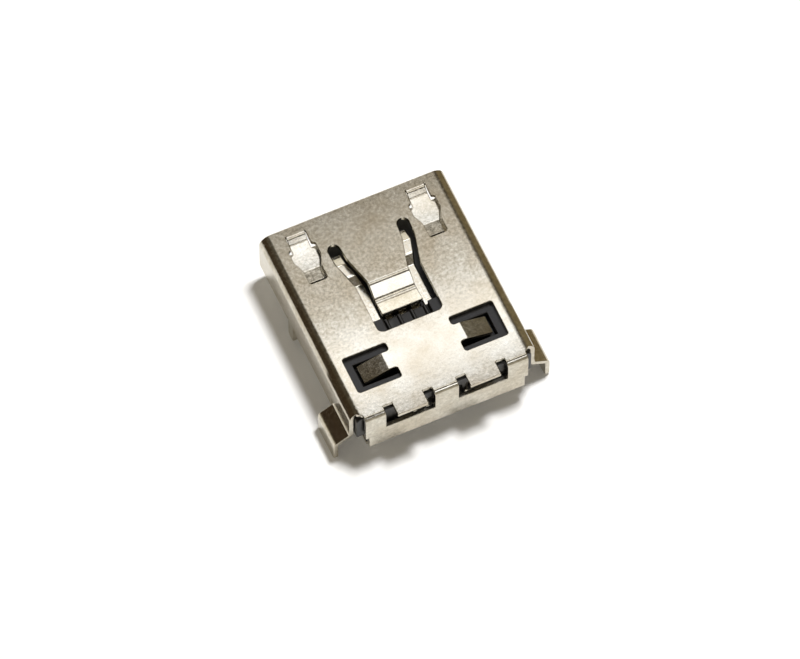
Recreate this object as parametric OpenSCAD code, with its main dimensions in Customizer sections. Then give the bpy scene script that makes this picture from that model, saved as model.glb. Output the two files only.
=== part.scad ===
// Charging socket: a folded sheet metal shell round a moulded contact block.
// Frame: +X across the mouth, +Y out of the mouth, +Z up, origin under the middle, at the leg tips.
// Inside the modules, y runs forward from the rear edge of the shell and z down from its top face.

/* [Shell body] */
// Width over the side walls
shell_w = 8.1; // [8:0.1:10]
// Height of the folded body, without its legs
body_h = 2.5; // [2.4:0.05:3.2]
// Length of the top plate, rear edge to mouth
shell_l = 9.05; // [9:0.05:11]
// Thickness of the sheet
sheet_t = 0.2; // [0.15:0.01:0.24]
// Outside radius of the four long folds
fold_r = 0.5; // [0.4:0.05:0.6]
// Gap left between the meeting edges under the body
seam_gap = 0.06; // [0.03:0.01:0.1]

/* [Rear flap] */
// Gap under the flap, where the tails end
flap_gap = 0.3; // [0.2:0.05:0.7]
// Inside radius of the fold at the top of the flap
flap_r = 0.05; // [0.03:0.01:0.1]
// Width of the middle bridge
mid_bridge_w = 1.04; // [0.8:0.02:1.3]
// Width of each of the two cut-outs beside it
cut_w = 2.13; // [1.9:0.01:2.3]
// Depth of the cut-outs, below the top face
cut_h = 1.1; // [0.7:0.02:1.3]
// Width of the flat tab in each cut-out
tab_w = 1.33; // [1:0.01:1.5]
// How far the tabs reach behind the rear edge
tab_reach = 0.52; // [0.4:0.02:0.7]
// How far the cut-outs run into the top plate
notch_d = 0.08; // [0.04:0.01:0.2]

/* [Middle spring] */
// Distance from the mouth to the ends of its slots
spring_from_mouth = 1.45; // [1.3:0.05:1.7]
// Width of the slots
slot_w = 0.52; // [0.45:0.01:0.6]
// Half distance between the slots at the wide root
root_half = 1.52; // [1.4:0.02:1.6]
// Half distance between the slots along the spring's blade
blade_half = 1.15; // [1.05:0.01:1.2]
// Length from the slot ends to the end of the window
window_len = 4.45; // [4.3:0.05:4.6]
// Angle at which the spring dips
dip_angle = 35; // [25:1:40]
// Angle at which its tip rises again
tip_angle = 11; // [5:1:16]

/* [Front springs] */
// Distance of each front spring's middle from the side wall
front_inset = 1.42; // [1.38:0.01:1.5]
// Distance from the mouth to the spring's root
front_from_mouth = 0.33; // [0.3:0.01:0.6]
// Width of the window at the neck
neck_w = 0.87; // [0.8:0.01:0.95]
// Width of the window at the shoulders
shoulder_w = 1.15; // [1.05:0.01:1.2]
// Width of the window at its round end
toe_w = 0.78; // [0.7:0.01:0.85]
// Length of the window
front_len = 2.42; // [2.3:0.01:2.6]
// Gap between a front spring and its window
spring_gap = 0.03; // [0.02:0.01:0.08]

/* [Locking tongues] */
// Distance of the window's outer edge from the side wall
lock_inset = 0.77; // [0.7:0.01:0.9]
// Distance of the window from the rear edge
lock_y = 1.0; // [0.9:0.05:1.1]
// Length of the window across the socket
lock_w = 1.9; // [1.8:0.05:2]
// Length of the window along the socket
lock_l = 1.68; // [1.6:0.02:1.8]
// Width of the tongue
tongue_w = 0.8; // [0.6:0.05:0.9]
// Angle at which the tongue is bent down
tongue_angle = 16; // [10:1:28]

/* [Legs] */
// How far the legs reach below the body
leg_drop = 0.6; // [0.3:0.05:1.2]
// Length of the rear legs along the wall
rear_leg_l = 1.6; // [1.2:0.05:1.8]
// How far the rear legs stand out from the wall
leg_reach = 0.68; // [0.5:0.02:0.8]
// Height on the wall at which the rear legs turn out, below the top face
leg_turn = 1.5; // [1.1:0.05:1.6]
// Angle of the step in the rear legs, from upright
leg_angle = 60; // [55:1:80]
// Distance of the front legs from the rear edge
front_leg_y = 5.98; // [5.5:0.05:7]
// Length of the front legs along the wall
front_leg_l = 0.5; // [0.4:0.05:0.8]

/* [Contact block] */
// Gap between the moulding and the shell
fit_gap = 0.03; // [0.02:0.01:0.05]
// Length of the block
block_l = 3.85; // [3.7:0.05:3.9]
// Width of the tongue that carries the contacts
carrier_w = 4; // [3.5:0.05:4.3]
// Thickness of that tongue
carrier_t = 0.65; // [0.5:0.05:0.8]
// Depth of the tongue's upper face, below the top face
carrier_z = 0.74; // [0.72:0.01:1.05]
// Distance from the mouth to the tongue's front edge
carrier_recess = 0.85; // [0.7:0.05:1.8]

/* [Contacts] */
// Pitch of the contacts at their tails
tail_pitch = 0.56; // [0.54:0.01:0.65]
// Pitch of the contacts where they meet the plug
mating_pitch = 0.71; // [0.65:0.01:0.74]
// Width of a contact
contact_w = 0.36; // [0.3:0.02:0.38]
// Thickness of a contact
contact_t = 0.15; // [0.1:0.01:0.18]
// Height of the contact's crown above the strip
crown_h = 0.2; // [0.15:0.01:0.25]

/* [Hidden] */
$fn = 48;
contacts = 5;
bend_steps = 10;
half_w = shell_w / 2;
inner_r = fold_r - sheet_t;
top_z = body_h + leg_drop;
middle_y = (shell_l - tab_reach) / 2;
over = 1;

// Flap
flap_w = shell_w - 2 * fold_r;
flap_h = body_h - flap_gap;
flap_corner = 0.15;

// Middle spring: its window is straight beside the root, tapers, and is clear behind the blade's bend
slots_end = shell_l - spring_from_mouth;
root_len = 0.6;
root_taper = 0.04;
taper_len = 1.25;
blade_start = slots_end - root_len - taper_len - slot_w / 2;
bend_lag = 0.03;
clear_from = blade_start - bend_lag;
blade_w = 2 * blade_half - slot_w;
window_end = slots_end - window_len;
window_corner = 0.13;
dip_len = 0.47;
tip_len = 0.55;
spring_r = 0.15;
valley_r = 0.4;
tip_y = clear_from
    - (spring_r + sheet_t) * sin(dip_angle)
    - dip_len * cos(dip_angle)
    - valley_r * (sin(dip_angle) + sin(tip_angle))
    - tip_len * cos(tip_angle)
    - sheet_t * sin(tip_angle);
tip_low = (spring_r + sheet_t) * (1 - cos(dip_angle))
    + dip_len * sin(dip_angle)
    + valley_r * (cos(tip_angle) - cos(dip_angle))
    - tip_len * sin(tip_angle)
    + sheet_t * cos(tip_angle);

// Front springs: the outline's steps, then the side view's bends
front_x = half_w - front_inset;
front_root = shell_l - front_from_mouth;
shoulder_from = 0.68;
shoulder_to = 1.27;
toe_from = 1.72;
front_corner = 0.1;
front_flat = 0.04;
front_step_angle = 36;
front_step_len = 0.17;
front_step_r = 0.1;
front_valley_r = 0.2;
front_reach_angle = 10;
front_reach_len = 1.15;
front_lift_angle = 5;
front_lift_len = 0.55;
front_lift_r = 0.3;
shoulder_gap = 0.12;

// Locking tongues
lock_x = half_w - lock_inset - lock_w;
lock_corner = 0.12;
tongue_shift = 0.06;
tongue_y = lock_y + lock_l / 2 + tongue_shift;
tongue_root = 0.27;
tongue_len = 1.12;
tongue_low = sheet_t + spring_r * (1 - cos(tongue_angle)) + tongue_len * sin(tongue_angle);

// Dovetail that locks the sheet's two edges together
key_y = 4.95;
key_neck = 0.7;
key_head = 1.2;
key_l = 0.75;

// Legs
leg_start = 0.2;
leg_relief = 0.15;
leg_in_r = 0.15;
leg_out_r = 0.1;
leg_tip = 0.12;
step_bends = leg_in_r + leg_out_r + sheet_t;
step_run = (leg_reach - step_bends * (1 - cos(leg_angle))) / sin(leg_angle);
step_drop = step_bends * sin(leg_angle) + step_run * cos(leg_angle);
leg_cut_rise = 0.1;
front_leg_from = body_h - fold_r - leg_cut_rise;

// Contact block
block_w = shell_w - 2 * sheet_t - 2 * fit_gap;
block_top = sheet_t + fit_gap;
block_h = body_h - 2 * block_top;
block_r = inner_r - fit_gap;
carrier_front = shell_l - carrier_recess;
carrier_corner = 0.3;
groove_gap = 0.02;
groove_depth = 0.1;
heel_w = 3.6;
heel_l = 1.2;
heel_gap = 0.1;
tongue_room = 0.13;
pocket_floor = tongue_low + tongue_room;
pocket_front = 0.06;
pocket_rear = 0.18;
pocket_short = 0.34;
corner_drop = 0.12;
tip_gap = 0.1;
tip_room = 0.02;
tip_pocket_behind = 0.05;
tip_pocket_y = window_end - tip_pocket_behind;
tip_pocket_w = blade_w + 2 * tip_gap;
tip_pocket_floor = tip_low + tip_room + max(0, block_l - tip_y) * tan(tip_angle);
rib_w = 0.12;
rib_h = 0.11;
rib_front = min(block_l, tip_y - tip_gap);

// Contacts
floor_z = carrier_z + groove_depth;
contact_r = 0.1;
crown_angle = 25;
crown_bends = 2 * contact_r + contact_t;
crown_run = (crown_h - crown_bends * (1 - cos(crown_angle))) / sin(crown_angle);
crown_step = crown_run * cos(crown_angle) + crown_bends * sin(crown_angle);
nose_gap = 0.8;
nose_l = 0.1;
crown_l = 0.5;
nose_y = carrier_front - nose_gap;
crown_front = nose_y - nose_l - crown_step;
crown_end = crown_front - crown_l - crown_step;
riser_y = 0.75;
riser_h = body_h - floor_z - 2 * contact_r - contact_t;
tail_end = 0.05;
tail_l = riser_y - 2 * contact_r - contact_t - tail_end;

// Moves a piece from the shell's rear top edge into the part's own frame.
module seat() {
    translate([0, -middle_y, top_z]) children();
}

// Draws its children on both sides of the middle plane.
module both_sides() {
    children();
    mirror([1, 0, 0]) children();
}

// Unit vector to the left of a heading.
function left(heading) = [-sin(heading), cos(heading)];

// Points along one side of a bent strip: v is 0 on its lower face and t on its upper face.
function strip_side(path, t, v, i = 0, at = [0, 0], heading = 0) =
    i == len(path) ? [] :
    let (
        run = path[i][0],
        turn = path[i][1],
        r = path[i][2],
        end = at + run * [cos(heading), sin(heading)],
        to_centre = turn > 0 ? r + t : -r,
        centre = end + to_centre * left(heading),
        steps = turn == 0 ? 0 : bend_steps,
        next = centre - to_centre * left(heading + turn)
    )
    concat(
        [for (k = [0 : steps]) centre + (v - to_centre) * left(heading + turn * k / max(steps, 1))],
        strip_side(path, t, v, i + 1, next, heading + turn)
    );

// Side view of a bent strip of sheet that sets out along +x with its lower face on y = 0.
// Each step of the path is [straight length, turn at its end, inside radius of the turn],
// and a positive turn is to the left.
module strip(path, t) {
    lower = strip_side(path, t, 0);
    upper = strip_side(path, t, t);
    polygon(concat([[0, 0]], lower, [for (k = [len(upper) - 1 : -1 : 0]) upper[k]], [[0, t]]));
}

// Stands a side view up so that it sets out towards the rear.
module rearwards(w) {
    rotate([90, 0, -90]) linear_extrude(w, center = true) children();
}

// Stands a side view up so that it sets out towards +X.
module outwards(w) {
    rotate([90, 0, 0]) linear_extrude(w, center = true) children();
}

// Cuts its 2D children through the top plate.
module through_top() {
    translate([0, 0, -sheet_t - over / 2]) linear_extrude(sheet_t + over) children();
}

// A rectangle with round corners, centred in x, hanging from y = 0.
module round_box(w, h, r) {
    translate([-w / 2, r - h]) square([w, h - 2 * r]);
    translate([r - w / 2, -h]) square([w - 2 * r, h]);
    for (x = [r - w / 2, w / 2 - r], y = [r - h, -r])
        translate([x, y]) circle(r);
}

// A run of straight slots of one width, with round ends and joints.
module slot_run(points, w) {
    for (i = [0 : len(points) - 2]) {
        leg = points[i + 1] - points[i];
        translate(points[i])
            rotate(atan2(leg.y, leg.x))
                translate([0, -w / 2])
                    square([norm(leg), w]);
    }
    for (p = points)
        translate(p) circle(w / 2);
}

// Rounds the outside and the inside corners of a 2D shape.
module eased(r) {
    offset(r = -r, $fn = 32) offset(delta = r) offset(r = r, $fn = 32) offset(delta = -r) children();
}

// The four walls, folded from one sheet into a tube.
module tube() {
    translate([0, shell_l, 0])
        rotate([90, 0, 0])
            linear_extrude(shell_l)
                difference() {
                    round_box(shell_w, body_h, fold_r);
                    translate([0, -sheet_t])
                        round_box(shell_w - 2 * sheet_t, body_h - 2 * sheet_t, inner_r);
                }
}

// Rear flap: folded down from the top plate, with two cut-outs across its fold.
module flap() {
    intersection() {
        translate([0, over / 4, -sheet_t])
            rearwards(flap_w)
                strip([[over / 4 + flap_r, -90, flap_r], [flap_h, 0, 0]], sheet_t);
        translate([0, over, over])
            rotate([90, 0, 0])
                linear_extrude(2 * over)
                    round_box(flap_w, flap_h + over, flap_corner);
    }
    translate([-flap_w / 2, -flap_r, -sheet_t]) cube([flap_w, over / 2, sheet_t]);
}

// The openings across the flap's fold, each with its bare notches at both ends.
module flap_cuts() {
    both_sides()
        translate([mid_bridge_w / 2, -over, -cut_h])
            cube([cut_w, over + notch_d, cut_h + over]);
}

// Flat tabs that stay in the plane of the top plate.
module tabs() {
    both_sides()
        translate([mid_bridge_w / 2 + (cut_w - tab_w) / 2, -tab_reach, -sheet_t])
            cube([tab_w, tab_reach + 2 * notch_d, sheet_t]);
}

// Window of the middle spring: two slots that close in to a clear opening.
module spring_window() {
    slots_y = slots_end - slot_w / 2;
    eased(window_corner) {
        for (side = [-1, 1])
            slot_run([
                [side * root_half, slots_y],
                [side * (root_half - root_taper), slots_y - root_len],
                [side * blade_half, blade_start],
                [side * blade_half, window_end + slot_w / 2]
            ], slot_w);
        translate([-blade_half, window_end]) square([2 * blade_half, clear_from - window_end]);
    }
}

// Middle spring: its flat root stays in the plate, its blade dips and rises again at the tip.
module middle_spring() {
    translate([0, clear_from + over / 5, -sheet_t])
        rearwards(blade_w)
            strip([
                [over / 5, -dip_angle, spring_r],
                [dip_len, dip_angle + tip_angle, valley_r],
                [tip_len, 0, 0]
            ], sheet_t);
}

// Outline of a front spring's window, from its root backwards. For the spring itself, less is taken
// off each side, and its shoulders start further back.
module front_outline(less = 0, shy = 0) {
    neck = neck_w / 2 - less;
    shoulder = shoulder_w / 2 - less;
    shoulder_y = -shoulder_from - shy;
    toe = toe_w / 2 - less;
    polygon([
        [neck, over / 4 * sign(less)],
        [neck, shoulder_y],
        [shoulder, shoulder_y],
        [shoulder, -shoulder_to],
        [toe, -toe_from],
        [toe, -front_len],
        [-toe, -front_len],
        [-toe, -toe_from],
        [-shoulder, -shoulder_to],
        [-shoulder, shoulder_y],
        [-neck, shoulder_y],
        [-neck, over / 4 * sign(less)]
    ]);
}

// Windows of the two front springs.
module front_windows() {
    both_sides()
        translate([front_x, front_root])
            eased(front_corner) front_outline();
}

// Front springs: cut to the outline of their windows, stepped down, sloping on and lifted at the tip.
module front_springs() {
    both_sides()
        translate([front_x, front_root, 0])
            intersection() {
                translate([0, over / 5, -sheet_t])
                    rearwards(shoulder_w)
                        strip([
                            [over / 5 + front_flat, -front_step_angle, front_step_r],
                            [front_step_len, front_step_angle - front_reach_angle, front_valley_r],
                            [front_reach_len, front_reach_angle + front_lift_angle, front_lift_r],
                            [front_lift_len, 0, 0]
                        ], sheet_t);
                translate([0, 0, -body_h])
                    linear_extrude(body_h + over)
                        eased(front_corner) front_outline(spring_gap, shoulder_gap);
            }
}

// Windows of the locking tongues: a C round each tongue.
module lock_windows() {
    both_sides()
        eased(lock_corner)
            difference() {
                translate([lock_x, lock_y]) square([lock_w, lock_l]);
                translate([lock_x - over, tongue_y - tongue_w / 2]) square([tongue_root + over, tongue_w]);
            }
}

// Locking tongues: bent down into the pockets of the contact block.
module locking_tongues() {
    both_sides()
        translate([lock_x, tongue_y, -sheet_t])
            outwards(tongue_w)
                strip([[tongue_root, -tongue_angle, spring_r], [tongue_len, 0, 0]], sheet_t);
}

// Room in the wall and the lower fold where a leg was cut free, between two places along the shell.
module leg_cut(from, to, depth) {
    both_sides()
        translate([half_w - fold_r - leg_relief, from, -body_h - over])
            cube([fold_r + leg_relief + over, to - from, body_h + over - depth]);
}

// Room behind the side walls and their folds, which end a little forward of the flap.
module rear_relief() {
    both_sides()
        translate([0, 0, -body_h - over])
            linear_extrude(body_h + 2 * over)
                polygon([
                    [flap_w / 2, -over],
                    [flap_w / 2, 0],
                    [flap_w / 2 + leg_start, leg_start],
                    [half_w + over, leg_start],
                    [half_w + over, -over]
                ]);
}

// Rear legs: stepped out from the side walls and down to the board, with eased tips.
module rear_legs() {
    down = leg_turn - fold_r;
    drop = top_z - leg_turn - step_drop;
    both_sides()
        intersection() {
            translate([half_w - sheet_t, leg_start + rear_leg_l / 2, -fold_r])
                outwards(rear_leg_l)
                    rotate(-90)
                        strip([
                            [down, leg_angle, leg_in_r],
                            [step_run, -leg_angle, leg_out_r],
                            [drop, 0, 0]
                        ], sheet_t);
            leg_outline(leg_start, rear_leg_l);
        }
}

// Front legs: straight down from the side walls.
module front_legs() {
    both_sides()
        intersection() {
            translate([half_w - sheet_t, front_leg_y - front_leg_l / 2, -top_z])
                cube([sheet_t, front_leg_l, top_z - fold_r]);
            leg_outline(front_leg_y - front_leg_l / 2, front_leg_l);
        }
}

// Side view of a leg with its two tip corners cut off.
module leg_outline(y, l) {
    rotate([90, 0, 90])
        linear_extrude(shell_w)
            polygon([
                [y, 0],
                [y, leg_tip - top_z],
                [y + leg_tip, -top_z],
                [y + l - leg_tip, -top_z],
                [y + l, leg_tip - top_z],
                [y + l, 0]
            ]);
}

// Half of the floor plate, with the dovetail that locks it to the other half.
module dovetail_half() {
    translate([-shell_w, -over]) square([shell_w, shell_l + 2 * over]);
    translate([0, key_y])
        polygon([
            [-over / 2, -key_neck / 2],
            [0, -key_neck / 2],
            [key_l, -key_head / 2],
            [key_l, key_head / 2],
            [0, key_neck / 2],
            [-over / 2, key_neck / 2]
        ]);
}

// The line along which the sheet's two edges meet under the body.
module seam() {
    translate([0, 0, -body_h - over / 2])
        linear_extrude(sheet_t + over / 2 + fit_gap)
            difference() {
                offset(delta = seam_gap / 2) dovetail_half();
                offset(delta = -seam_gap / 2) dovetail_half();
            }
}

// Opening in the floor plate for the heel of the contact block and the tails.
module heel_window() {
    translate([-heel_w / 2 - heel_gap, -over, -body_h - over])
        cube([heel_w + 2 * heel_gap, over + heel_l + heel_gap, over + sheet_t + fit_gap]);
}

// The shell: one folded sheet with its springs, tongues, flap and legs.
module shell() {
    color("silver")
        seat() {
            difference() {
                union() {
                    tube();
                    flap();
                }
                flap_cuts();
                through_top() {
                    spring_window();
                    front_windows();
                    lock_windows();
                }
                rear_relief();
                leg_cut(-over, leg_start + rear_leg_l + leg_relief, leg_turn);
                leg_cut(
                    front_leg_y - front_leg_l / 2 - leg_relief,
                    front_leg_y + front_leg_l / 2 + leg_relief,
                    front_leg_from
                );
                seam();
                heel_window();
            }
            tabs();
            middle_spring();
            front_springs();
            locking_tongues();
            rear_legs();
            front_legs();
        }
}

// Place of a contact in the row, counted from the middle one.
function lane(i) = i - (contacts + 1) / 2;

// Room for one contact: the groove in the tongue, the tunnel through the block and the open rear slot.
module contact_room(i) {
    w = contact_w + 2 * groove_gap;
    h = contact_t + groove_gap;
    translate([0, 0, -floor_z])
        linear_extrude(h)
            contact_plan(i, groove_gap, nose_y + groove_gap, riser_y);
    translate([i * tail_pitch - w / 2, -over, -body_h - over])
        cube([w, over + riser_y + groove_gap, body_h + over - floor_z + h]);
}

// Pockets for the locking tongues.
module tongue_pockets() {
    both_sides()
        translate([lock_x, tongue_y - tongue_w / 2 - pocket_rear, -pocket_floor])
            cube([lock_w - pocket_short, tongue_w + pocket_rear + pocket_front, pocket_floor]);
}

// Shallow pocket under the tip of the middle spring, with low ribs behind it between the contacts' lanes.
module tip_pocket() {
    difference() {
        translate([-tip_pocket_w / 2, tip_pocket_y, -tip_pocket_floor])
            cube([tip_pocket_w, block_l + over - tip_pocket_y, tip_pocket_floor]);
        for (i = [1 : contacts - 1])
            translate([
                (lane(i) + lane(i + 1)) / 2 * tail_pitch - rib_w / 2,
                tip_pocket_y - over,
                -tip_pocket_floor - over
            ])
                cube([rib_w, rib_front + over - tip_pocket_y, over + rib_h]);
    }
}

// The contact block: one black moulding with the tongue that carries the contacts.
module contact_block() {
    color([0.13, 0.13, 0.14])
        seat()
            difference() {
                union() {
                    translate([0, block_l, -block_top])
                        rotate([90, 0, 0])
                            linear_extrude(block_l)
                                round_box(block_w, block_h, block_r);
                    translate([0, 0, -carrier_z - carrier_t])
                        linear_extrude(carrier_t)
                            translate([0, carrier_front])
                                round_box(carrier_w, carrier_front - block_l / 2, carrier_corner);
                    translate([-heel_w / 2, 0, -body_h])
                        cube([heel_w, heel_l, block_top + over / 2]);
                }
                tongue_pockets();
                leg_cut(-over, leg_start + rear_leg_l + leg_relief, leg_turn + corner_drop);
                tip_pocket();
                for (i = [1 : contacts])
                    contact_room(lane(i));
            }
}

// Plan view of a contact, from the nose back to a place behind it; more is added at each side.
module contact_plan(i, more, front, back) {
    h = contact_w / 2 + more;
    tail_x = i * tail_pitch;
    nose_x = i * mating_pitch;
    polygon([
        [nose_x - h, front],
        [nose_x - h, crown_front],
        [tail_x - h, crown_end],
        [tail_x - h, back],
        [tail_x + h, back],
        [tail_x + h, crown_end],
        [nose_x + h, crown_front],
        [nose_x + h, front]
    ]);
}

// One contact: nose and crown on the tongue, a strip back through the block, a riser and a flat tail.
module contact(i) {
    color("gold")
        seat()
            intersection() {
                translate([0, nose_y, -floor_z])
                    rearwards(shell_w)
                        strip([
                            [nose_l, crown_angle, contact_r],
                            [crown_run, -crown_angle, contact_r],
                            [crown_l, -crown_angle, contact_r],
                            [crown_run, crown_angle, contact_r],
                            [crown_end - riser_y, -90, contact_r],
                            [riser_h, 90, contact_r],
                            [tail_l, 0, 0]
                        ], contact_t);
                translate([0, 0, -body_h - over])
                    linear_extrude(body_h + over)
                        contact_plan(i, 0, nose_y + over, tail_end - over);
            }
}

shell();
contact_block();
for (i = [1 : contacts])
    contact(lane(i));
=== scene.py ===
# The look of a small charging socket: a plated sheet shell round a black moulding with flat contacts.
# Everything is in metres, in the part's own frame: +X across the mouth, +Y out of it, +Z up.
import math

import bmesh
import bpy
import numpy as np
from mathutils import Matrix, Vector


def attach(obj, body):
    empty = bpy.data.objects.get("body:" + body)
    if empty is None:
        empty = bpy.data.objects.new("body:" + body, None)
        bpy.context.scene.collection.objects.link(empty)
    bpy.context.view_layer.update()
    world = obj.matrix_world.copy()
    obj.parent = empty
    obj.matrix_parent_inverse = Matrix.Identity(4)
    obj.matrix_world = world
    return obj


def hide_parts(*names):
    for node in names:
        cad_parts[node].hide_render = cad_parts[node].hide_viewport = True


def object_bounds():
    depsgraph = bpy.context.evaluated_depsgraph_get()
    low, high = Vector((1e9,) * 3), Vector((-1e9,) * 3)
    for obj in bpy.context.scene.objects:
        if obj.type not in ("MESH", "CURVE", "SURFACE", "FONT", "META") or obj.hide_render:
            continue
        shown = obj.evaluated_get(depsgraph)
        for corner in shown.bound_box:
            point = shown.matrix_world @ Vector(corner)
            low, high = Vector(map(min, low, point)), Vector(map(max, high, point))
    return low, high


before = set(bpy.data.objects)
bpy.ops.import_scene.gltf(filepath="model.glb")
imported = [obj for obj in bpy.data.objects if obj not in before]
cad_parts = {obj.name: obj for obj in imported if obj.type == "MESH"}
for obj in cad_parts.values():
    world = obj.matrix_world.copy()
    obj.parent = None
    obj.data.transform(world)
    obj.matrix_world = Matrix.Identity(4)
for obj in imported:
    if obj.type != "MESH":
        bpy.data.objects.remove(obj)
cad_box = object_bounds()
scene = bpy.context.scene
scene.view_settings.view_transform = "Standard"
mm = 0.001

# Camera
# A long lens from far away, so that parallel edges stay parallel, as they do in the photograph.
# It looks down from the socket's rear left, and the middle of the top plate falls on its own pixel.
picture_px = (800, 659)
px_per_mm = 25.065
plate_top = cad_box[1][2]
plate_middle = Vector((0, 0.135 * mm, plate_top))
plate_middle_px = (398.8, 295.3)
azimuth, elevation = math.radians(-24.3), math.radians(61.2)
distance = 400 * mm
nearest, farthest = distance / 10, distance * 10
sensor_width = 36

right = Vector((math.cos(azimuth), math.sin(azimuth), 0))
back = Vector((
    math.sin(azimuth) * math.cos(elevation),
    -math.cos(azimuth) * math.cos(elevation),
    math.sin(elevation),
))
up = back.cross(right)
px = mm / px_per_mm
aim = (
    plate_middle
    + right * (picture_px[0] / 2 - plate_middle_px[0]) * px
    - up * (picture_px[1] / 2 - plate_middle_px[1]) * px
)
lens = bpy.data.cameras.new("camera")
lens.sensor_width = sensor_width
lens.lens = sensor_width * distance / (picture_px[0] * px)
lens.clip_start, lens.clip_end = nearest, farthest
camera = bpy.data.objects.new("camera", lens)
camera.location = aim + back * distance
camera.rotation_mode = "QUATERNION"
camera.rotation_quaternion = back.to_track_quat("Z", "Y")
scene.collection.objects.link(camera)
scene.camera = camera


# Floor
# A plain sheet of white card that the socket stands on. It is white to the eye and in the metal's
# reflections, and the socket's soft shadow still falls on it.
def linear(hex_colour):
    """Turns an sRGB hex colour into linear red, green, blue and an alpha of 1."""
    parts = np.array([int(hex_colour[i:i + 2], 16) for i in (1, 3, 5)]) / 255
    low, high = parts / 12.92, ((parts + 0.055) / 1.055) ** 2.4
    return (*np.where(parts <= 0.04045, low, high).tolist(), 1.0)


def new_material(name):
    """An empty node material."""
    made = bpy.data.materials.new(name)
    made.use_nodes = True
    made.node_tree.nodes.clear()
    return made


def add_node(owner, kind, settings=None, values=None, links=None, stops=()):
    """Adds a node: settings are its own properties, values its constant sockets, links its joined
    ones, and stops the heights and colours of its colour ramp, from low to high."""
    tree = owner.node_tree
    made = tree.nodes.new(kind)
    for name, value in (settings or {}).items():
        setattr(made, name, value)
    for socket, value in (values or {}).items():
        made.inputs[socket].default_value = value
    for socket, (source, output) in (links or {}).items():
        tree.links.new(source.outputs[output], made.inputs[socket])
    if stops:
        ramp = made.color_ramp.elements
        while len(ramp) < len(stops):
            ramp.new(1.0)
        for stop, (height, colour) in zip(ramp, stops):
            stop.position = height
            stop.color = linear(colour)
    return made


floor_half = 300 * mm
card_colour = linear("#FFFFFF")
card_glow = 0.05

# Card is dead matt. Its faint glow shows only to the camera and in reflections, so it lights nothing.
card = new_material("white_card")
card_face = add_node(card, "ShaderNodeBsdfDiffuse", values={"Color": card_colour})
card_white = add_node(card, "ShaderNodeEmission", values={"Color": card_colour, "Strength": card_glow})
card_rays = add_node(card, "ShaderNodeLightPath")
seen = add_node(card, "ShaderNodeMath", {"operation": "MAXIMUM"}, links={
    0: (card_rays, "Is Camera Ray"), 1: (card_rays, "Is Glossy Ray")})
card_both = add_node(card, "ShaderNodeAddShader", links={0: (card_face, 0), 1: (card_white, 0)})
card_mix = add_node(card, "ShaderNodeMixShader", links={
    0: (seen, 0), 1: (card_face, 0), 2: (card_both, 0)})
add_node(card, "ShaderNodeOutputMaterial", links={"Surface": (card_mix, 0)})

corners = np.array([(-1, -1), (1, -1), (1, 1), (-1, 1)]) * floor_half
floor_mesh = bpy.data.meshes.new("floor")
floor_mesh.from_pydata([(x, y, 0) for x, y in corners.tolist()], [], [(0, 1, 2, 3)])
floor_mesh.materials.append(card)
floor = bpy.data.objects.new("floor", floor_mesh)
scene.collection.objects.link(floor)

# Light
# A room that is pale at the horizon and dark brown overhead, and over the socket a row of soft boxes
# with dark gaps between them for the plate to mirror. A far key lamp on the right lights all that is
# matt and casts the shadow. Glowing brown screens on both sides paint dark reflections on the long
# folds and the leg shelves.
straight_up = (0.0, 0.0, 1.0)
room = bpy.data.worlds.new("studio_room")
room.use_nodes = True
room.node_tree.nodes.clear()
scene.world = room
room_way = add_node(room, "ShaderNodeTexCoord")
room_height = add_node(room, "ShaderNodeVectorMath", {"operation": "DOT_PRODUCT"}, {1: straight_up}, {
    0: (room_way, "Generated")})
room_colour = add_node(room, "ShaderNodeValToRGB", links={"Fac": (room_height, "Value")}, stops=[
    (0.0, "#C4BFB2"), (0.5, "#B4AE9F"), (0.62, "#6A6353"), (0.8, "#50483B"), (1.0, "#5C5547")])
room_light = add_node(room, "ShaderNodeBackground", values={"Strength": 1.0}, links={
    "Color": (room_colour, "Color")})
add_node(room, "ShaderNodeOutputWorld", links={"Surface": (room_light, 0)})


def soft_box(name, at, size, towards, brightness, colour="#FFFFFF"):
    """A rectangular lamp that the camera doesn't see, at a place in mm, facing another. Its power
    grows with its area, so that brightness sets how bright its face looks."""
    lamp = bpy.data.lights.new(name, "AREA")
    lamp.shape = "RECTANGLE"
    lamp.size, lamp.size_y = size[0] * mm, size[1] * mm
    lamp.energy = brightness * math.pi * lamp.size * lamp.size_y
    lamp.color = linear(colour)[:3]
    made = bpy.data.objects.new(name, lamp)
    made.location = Vector(at) * mm
    made.rotation_mode = "QUATERNION"
    made.rotation_quaternion = (Vector(at) - Vector(towards)).to_track_quat("Z", "Y")
    made.visible_camera = False
    scene.collection.objects.link(made)
    return made


# Each box faces straight down and lights nothing matt. The row gives its left, right, rear and
# front edges in mm, its brightness and its colour.
box_height = 23
for name, box_left, box_right, rear, front, brightness, colour in [
    ("far_rear_box", 2.4, 9, -20.5, -13, 3.5, "#F1F5FF"),
    ("zenith_box", -6, 13, -3.3, 1.3, 1.95, "#FFFFFF"),
    ("plate_rear_box", -6, 13, 5.1, 6.2, 1.7, "#F1F5FF"),
    ("plate_box", -6, 13, 6.2, 9.0, 3.1, "#F1F5FF"),
    ("plate_fade_box", -6, 13, 9.0, 15.0, 0.8, "#FFFCF8"),
    ("far_front_box", -6, 13, 19.5, 38, 2.1, "#FFFFFF"),
]:
    middle = ((box_left + box_right) / 2, (rear + front) / 2)
    size = (box_right - box_left, front - rear)
    box = soft_box(name, (*middle, box_height), size, (*middle, 0), brightness, colour)
    box.visible_diffuse = False

# The key lamp shows in no reflection.
key = soft_box("key_lamp", at=(53, 23, 216), size=(40, 40), towards=(0, 0, 0), brightness=91)
key.visible_glossy = False
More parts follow.
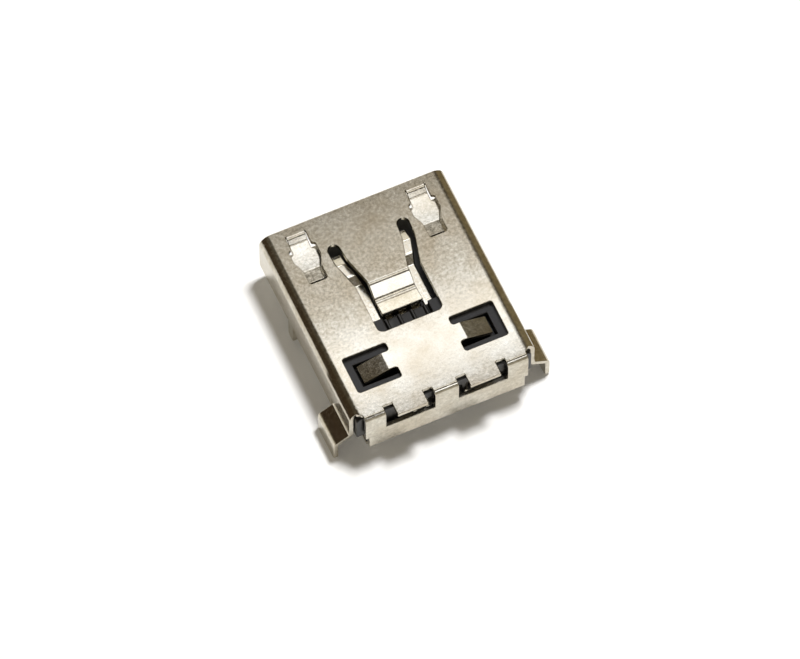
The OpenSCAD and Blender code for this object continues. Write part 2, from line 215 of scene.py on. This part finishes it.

# The screens stand upright and close along the sides of the socket, reach lower beside its rear
# legs, and show only in its reflections, where their glow paints dark reflections on the folds and
# shelves. The row gives a screen's place across the socket and its rear, front, lower and upper
# edges in mm, and its colour.
for name, x, rear, front, low, top, colour in [
    ("left_screen", -5.6, -8, 11, 2.6, 5.2, "#463A2A"),
    ("left_leg_screen", -5.6, -5.5, -0.9, 1.5, 2.6, "#42362A"),
    ("right_screen", 5.6, -8, 11, 1.9, 4.8, "#8A7D60"),
    ("right_leg_screen", 5.6, -5.5, -0.9, 1.1, 1.9, "#8A7D60"),
]:
    screen_mesh = bpy.data.meshes.new(name)
    screen_mesh.from_pydata(
        [(x * mm, y * mm, z * mm) for y, z in ((rear, low), (front, low), (front, top), (rear, top))],
        [], [(0, 1, 2, 3)])

    # Each screen glows one even brown, with no highlight, and lights nothing matt: a painted dark
    # reflection for the metal.
    screen_glow = new_material(f"{name}_felt")
    screen_glow_face = add_node(screen_glow, "ShaderNodeEmission", values={"Color": linear(colour), "Strength": 1.0})
    add_node(screen_glow, "ShaderNodeOutputMaterial", links={"Surface": (screen_glow_face, 0)})
    screen_mesh.materials.append(screen_glow)
    screen = bpy.data.objects.new(name, screen_mesh)
    screen.visible_camera = screen.visible_diffuse = screen.visible_shadow = False
    scene.collection.objects.link(screen)

# Shell
# One sheet of nickel-plated steel, 0.2 mm thick, stamped from strip and folded into a flat tube. Its
# springs, flap and legs are cut from the same sheet, and the punch leaves its edges slightly rounded.
edge_round = 0.03 * mm
edge_angle = math.radians(35)
weld_distance = 0.0005 * mm
flat_angle = math.radians(0.5)
flat_face_weight = 90


def finished_copy(node, name, width):
    """Copies a CAD node as a merged mesh whose sharp edges are rounded to a width, and lets it stand
    for the node. The large flat faces lead the shading, so that they mirror as flat ones."""
    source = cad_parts[node]
    mesh = bpy.data.meshes.new(name)
    work = bmesh.new()
    work.from_mesh(source.data)
    bmesh.ops.remove_doubles(work, verts=work.verts, dist=weld_distance)
    bmesh.ops.dissolve_limit(work, angle_limit=flat_angle, verts=work.verts, edges=work.edges)
    work.to_mesh(mesh)
    work.free()
    mesh.shade_smooth()
    mesh.set_sharp_from_angle(angle=edge_angle)
    made = bpy.data.objects.new(name, mesh)
    scene.collection.objects.link(made)
    rounding = made.modifiers.new("rounded_edges", "BEVEL")
    rounding.width = width
    rounding.segments = 2
    rounding.limit_method = "ANGLE"
    rounding.angle_limit = edge_angle
    rounding.use_clamp_overlap = False
    rounding.harden_normals = True
    flattening = made.modifiers.new("flat_faces_stay_flat", "WEIGHTED_NORMAL")
    flattening.mode = "FACE_AREA"
    flattening.weight = flat_face_weight
    flattening.keep_sharp = True
    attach(made, "root")
    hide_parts(node)
    return made


# Nickel plate gives soft and slightly warm reflections, with a fine grain and faint stains. The real
# grain is finer than a pixel of the picture, so it is drawn 0.14 mm wide. Nearly all of a noise
# pattern lies between the low and the high value.
grain_width, stain_width = 0.14 * mm, 1.3 * mm
noise_low, noise_high = 0.3, 0.7
plate = new_material("nickel_plated_steel")
plate_place = add_node(plate, "ShaderNodeTexCoord")
grain = add_node(plate, "ShaderNodeTexNoise", values={
    "Scale": 1 / grain_width, "Detail": 3.0, "Roughness": 0.6}, links={
    "Vector": (plate_place, "Object")})
stain = add_node(plate, "ShaderNodeTexNoise", values={
    "Scale": 1 / stain_width, "Detail": 4.0, "Roughness": 0.55}, links={
    "Vector": (plate_place, "Object")})
grain_colour = add_node(plate, "ShaderNodeValToRGB", links={"Fac": (grain, "Fac")}, stops=[
    (noise_low, "#B8B3A5"), (noise_high, "#DCD8CC")])
stain_colour = add_node(plate, "ShaderNodeValToRGB", links={"Fac": (stain, "Fac")}, stops=[
    (noise_low, "#E6DFD4"), (noise_high, "#FFFFFF")])
plate_colour = add_node(
    plate, "ShaderNodeMix", {"data_type": "RGBA", "blend_type": "MULTIPLY"}, {0: 1.0}, {
        6: (grain_colour, "Color"), 7: (stain_colour, "Color")})
plate_rough = add_node(plate, "ShaderNodeMapRange", values={
    "From Min": noise_low, "From Max": noise_high, "To Min": 0.15, "To Max": 0.25}, links={
    "Value": (grain, "Fac")})
plate_bump = add_node(plate, "ShaderNodeBump", values={
    "Strength": 0.25, "Distance": 0.008 * mm}, links={"Height": (grain, "Fac")})
plate_face = add_node(plate, "ShaderNodeBsdfPrincipled", values={"Metallic": 1.0}, links={
    "Base Color": (plate_colour, 2), "Roughness": (plate_rough, 0), "Normal": (plate_bump, 0)})
add_node(plate, "ShaderNodeOutputMaterial", links={"Surface": (plate_face, 0)})

shell = finished_copy("shell", "shell_sheet", edge_round)
shell.data.materials.append(plate)

# Contact block
# One black moulding in heat-proof plastic, held in the shell in front of the folded rear flap. Its
# flat tongue stands in the mouth and carries the contacts.
block_round = 0.04 * mm

# Moulded plastic gives a half-matt black with soft highlights. The skin that the mould leaves is too
# fine to show, so its grain is drawn 0.08 mm wide.
skin_width = 0.08 * mm
moulding = new_material("black_moulded_plastic")
moulding_place = add_node(moulding, "ShaderNodeTexCoord")
skin = add_node(moulding, "ShaderNodeTexNoise", values={
    "Scale": 1 / skin_width, "Detail": 2.0}, links={"Vector": (moulding_place, "Object")})
skin_colour = add_node(moulding, "ShaderNodeValToRGB", links={"Fac": (skin, "Fac")}, stops=[
    (0.35, "#0D0B0A"), (noise_high, "#191715")])
skin_rough = add_node(moulding, "ShaderNodeMapRange", values={
    "From Min": noise_low, "From Max": noise_high, "To Min": 0.3, "To Max": 0.42}, links={
    "Value": (skin, "Fac")})
skin_bump = add_node(moulding, "ShaderNodeBump", values={
    "Strength": 0.4, "Distance": 0.006 * mm}, links={"Height": (skin, "Fac")})
moulding_face = add_node(moulding, "ShaderNodeBsdfPrincipled", values={"IOR": 1.5}, links={
    "Base Color": (skin_colour, "Color"), "Roughness": (skin_rough, 0), "Normal": (skin_bump, 0)})
add_node(moulding, "ShaderNodeOutputMaterial", links={"Surface": (moulding_face, 0)})

block = finished_copy("contact_block", "contact_moulding", block_round)
block.data.materials.append(moulding)

# Contacts
# Five strips of copper alloy, 0.15 mm thick, stamped and bent. They lie in lanes in the block, and
# they are plated with thin gold.
contact_count = 5
strip_round = 0.02 * mm

# Gold plate gives bright, smooth reflections in a pale yellow. Its real grain is too fine to show,
# so it is drawn 0.1 mm wide.
gold_grain_width = 0.1 * mm
gold = new_material("pale_gold_plate")
gold_place = add_node(gold, "ShaderNodeTexCoord")
gold_grain = add_node(gold, "ShaderNodeTexNoise", values={
    "Scale": 1 / gold_grain_width, "Detail": 2.0}, links={"Vector": (gold_place, "Object")})
gold_colour = add_node(gold, "ShaderNodeValToRGB", links={"Fac": (gold_grain, "Fac")}, stops=[
    (noise_low, "#F4EEDD"), (noise_high, "#FCFAF2")])
gold_rough = add_node(gold, "ShaderNodeMapRange", values={
    "From Min": noise_low, "From Max": noise_high, "To Min": 0.12, "To Max": 0.2}, links={
    "Value": (gold_grain, "Fac")})
gold_face = add_node(gold, "ShaderNodeBsdfPrincipled", values={"Metallic": 1.0}, links={
    "Base Color": (gold_colour, "Color"), "Roughness": (gold_rough, 0)})
add_node(gold, "ShaderNodeOutputMaterial", links={"Surface": (gold_face, 0)})

for number in range(1, contact_count + 1):
    strip = finished_copy(f"contact_{number}", f"contact_strip_{number}", strip_round)
    strip.data.materials.append(gold)
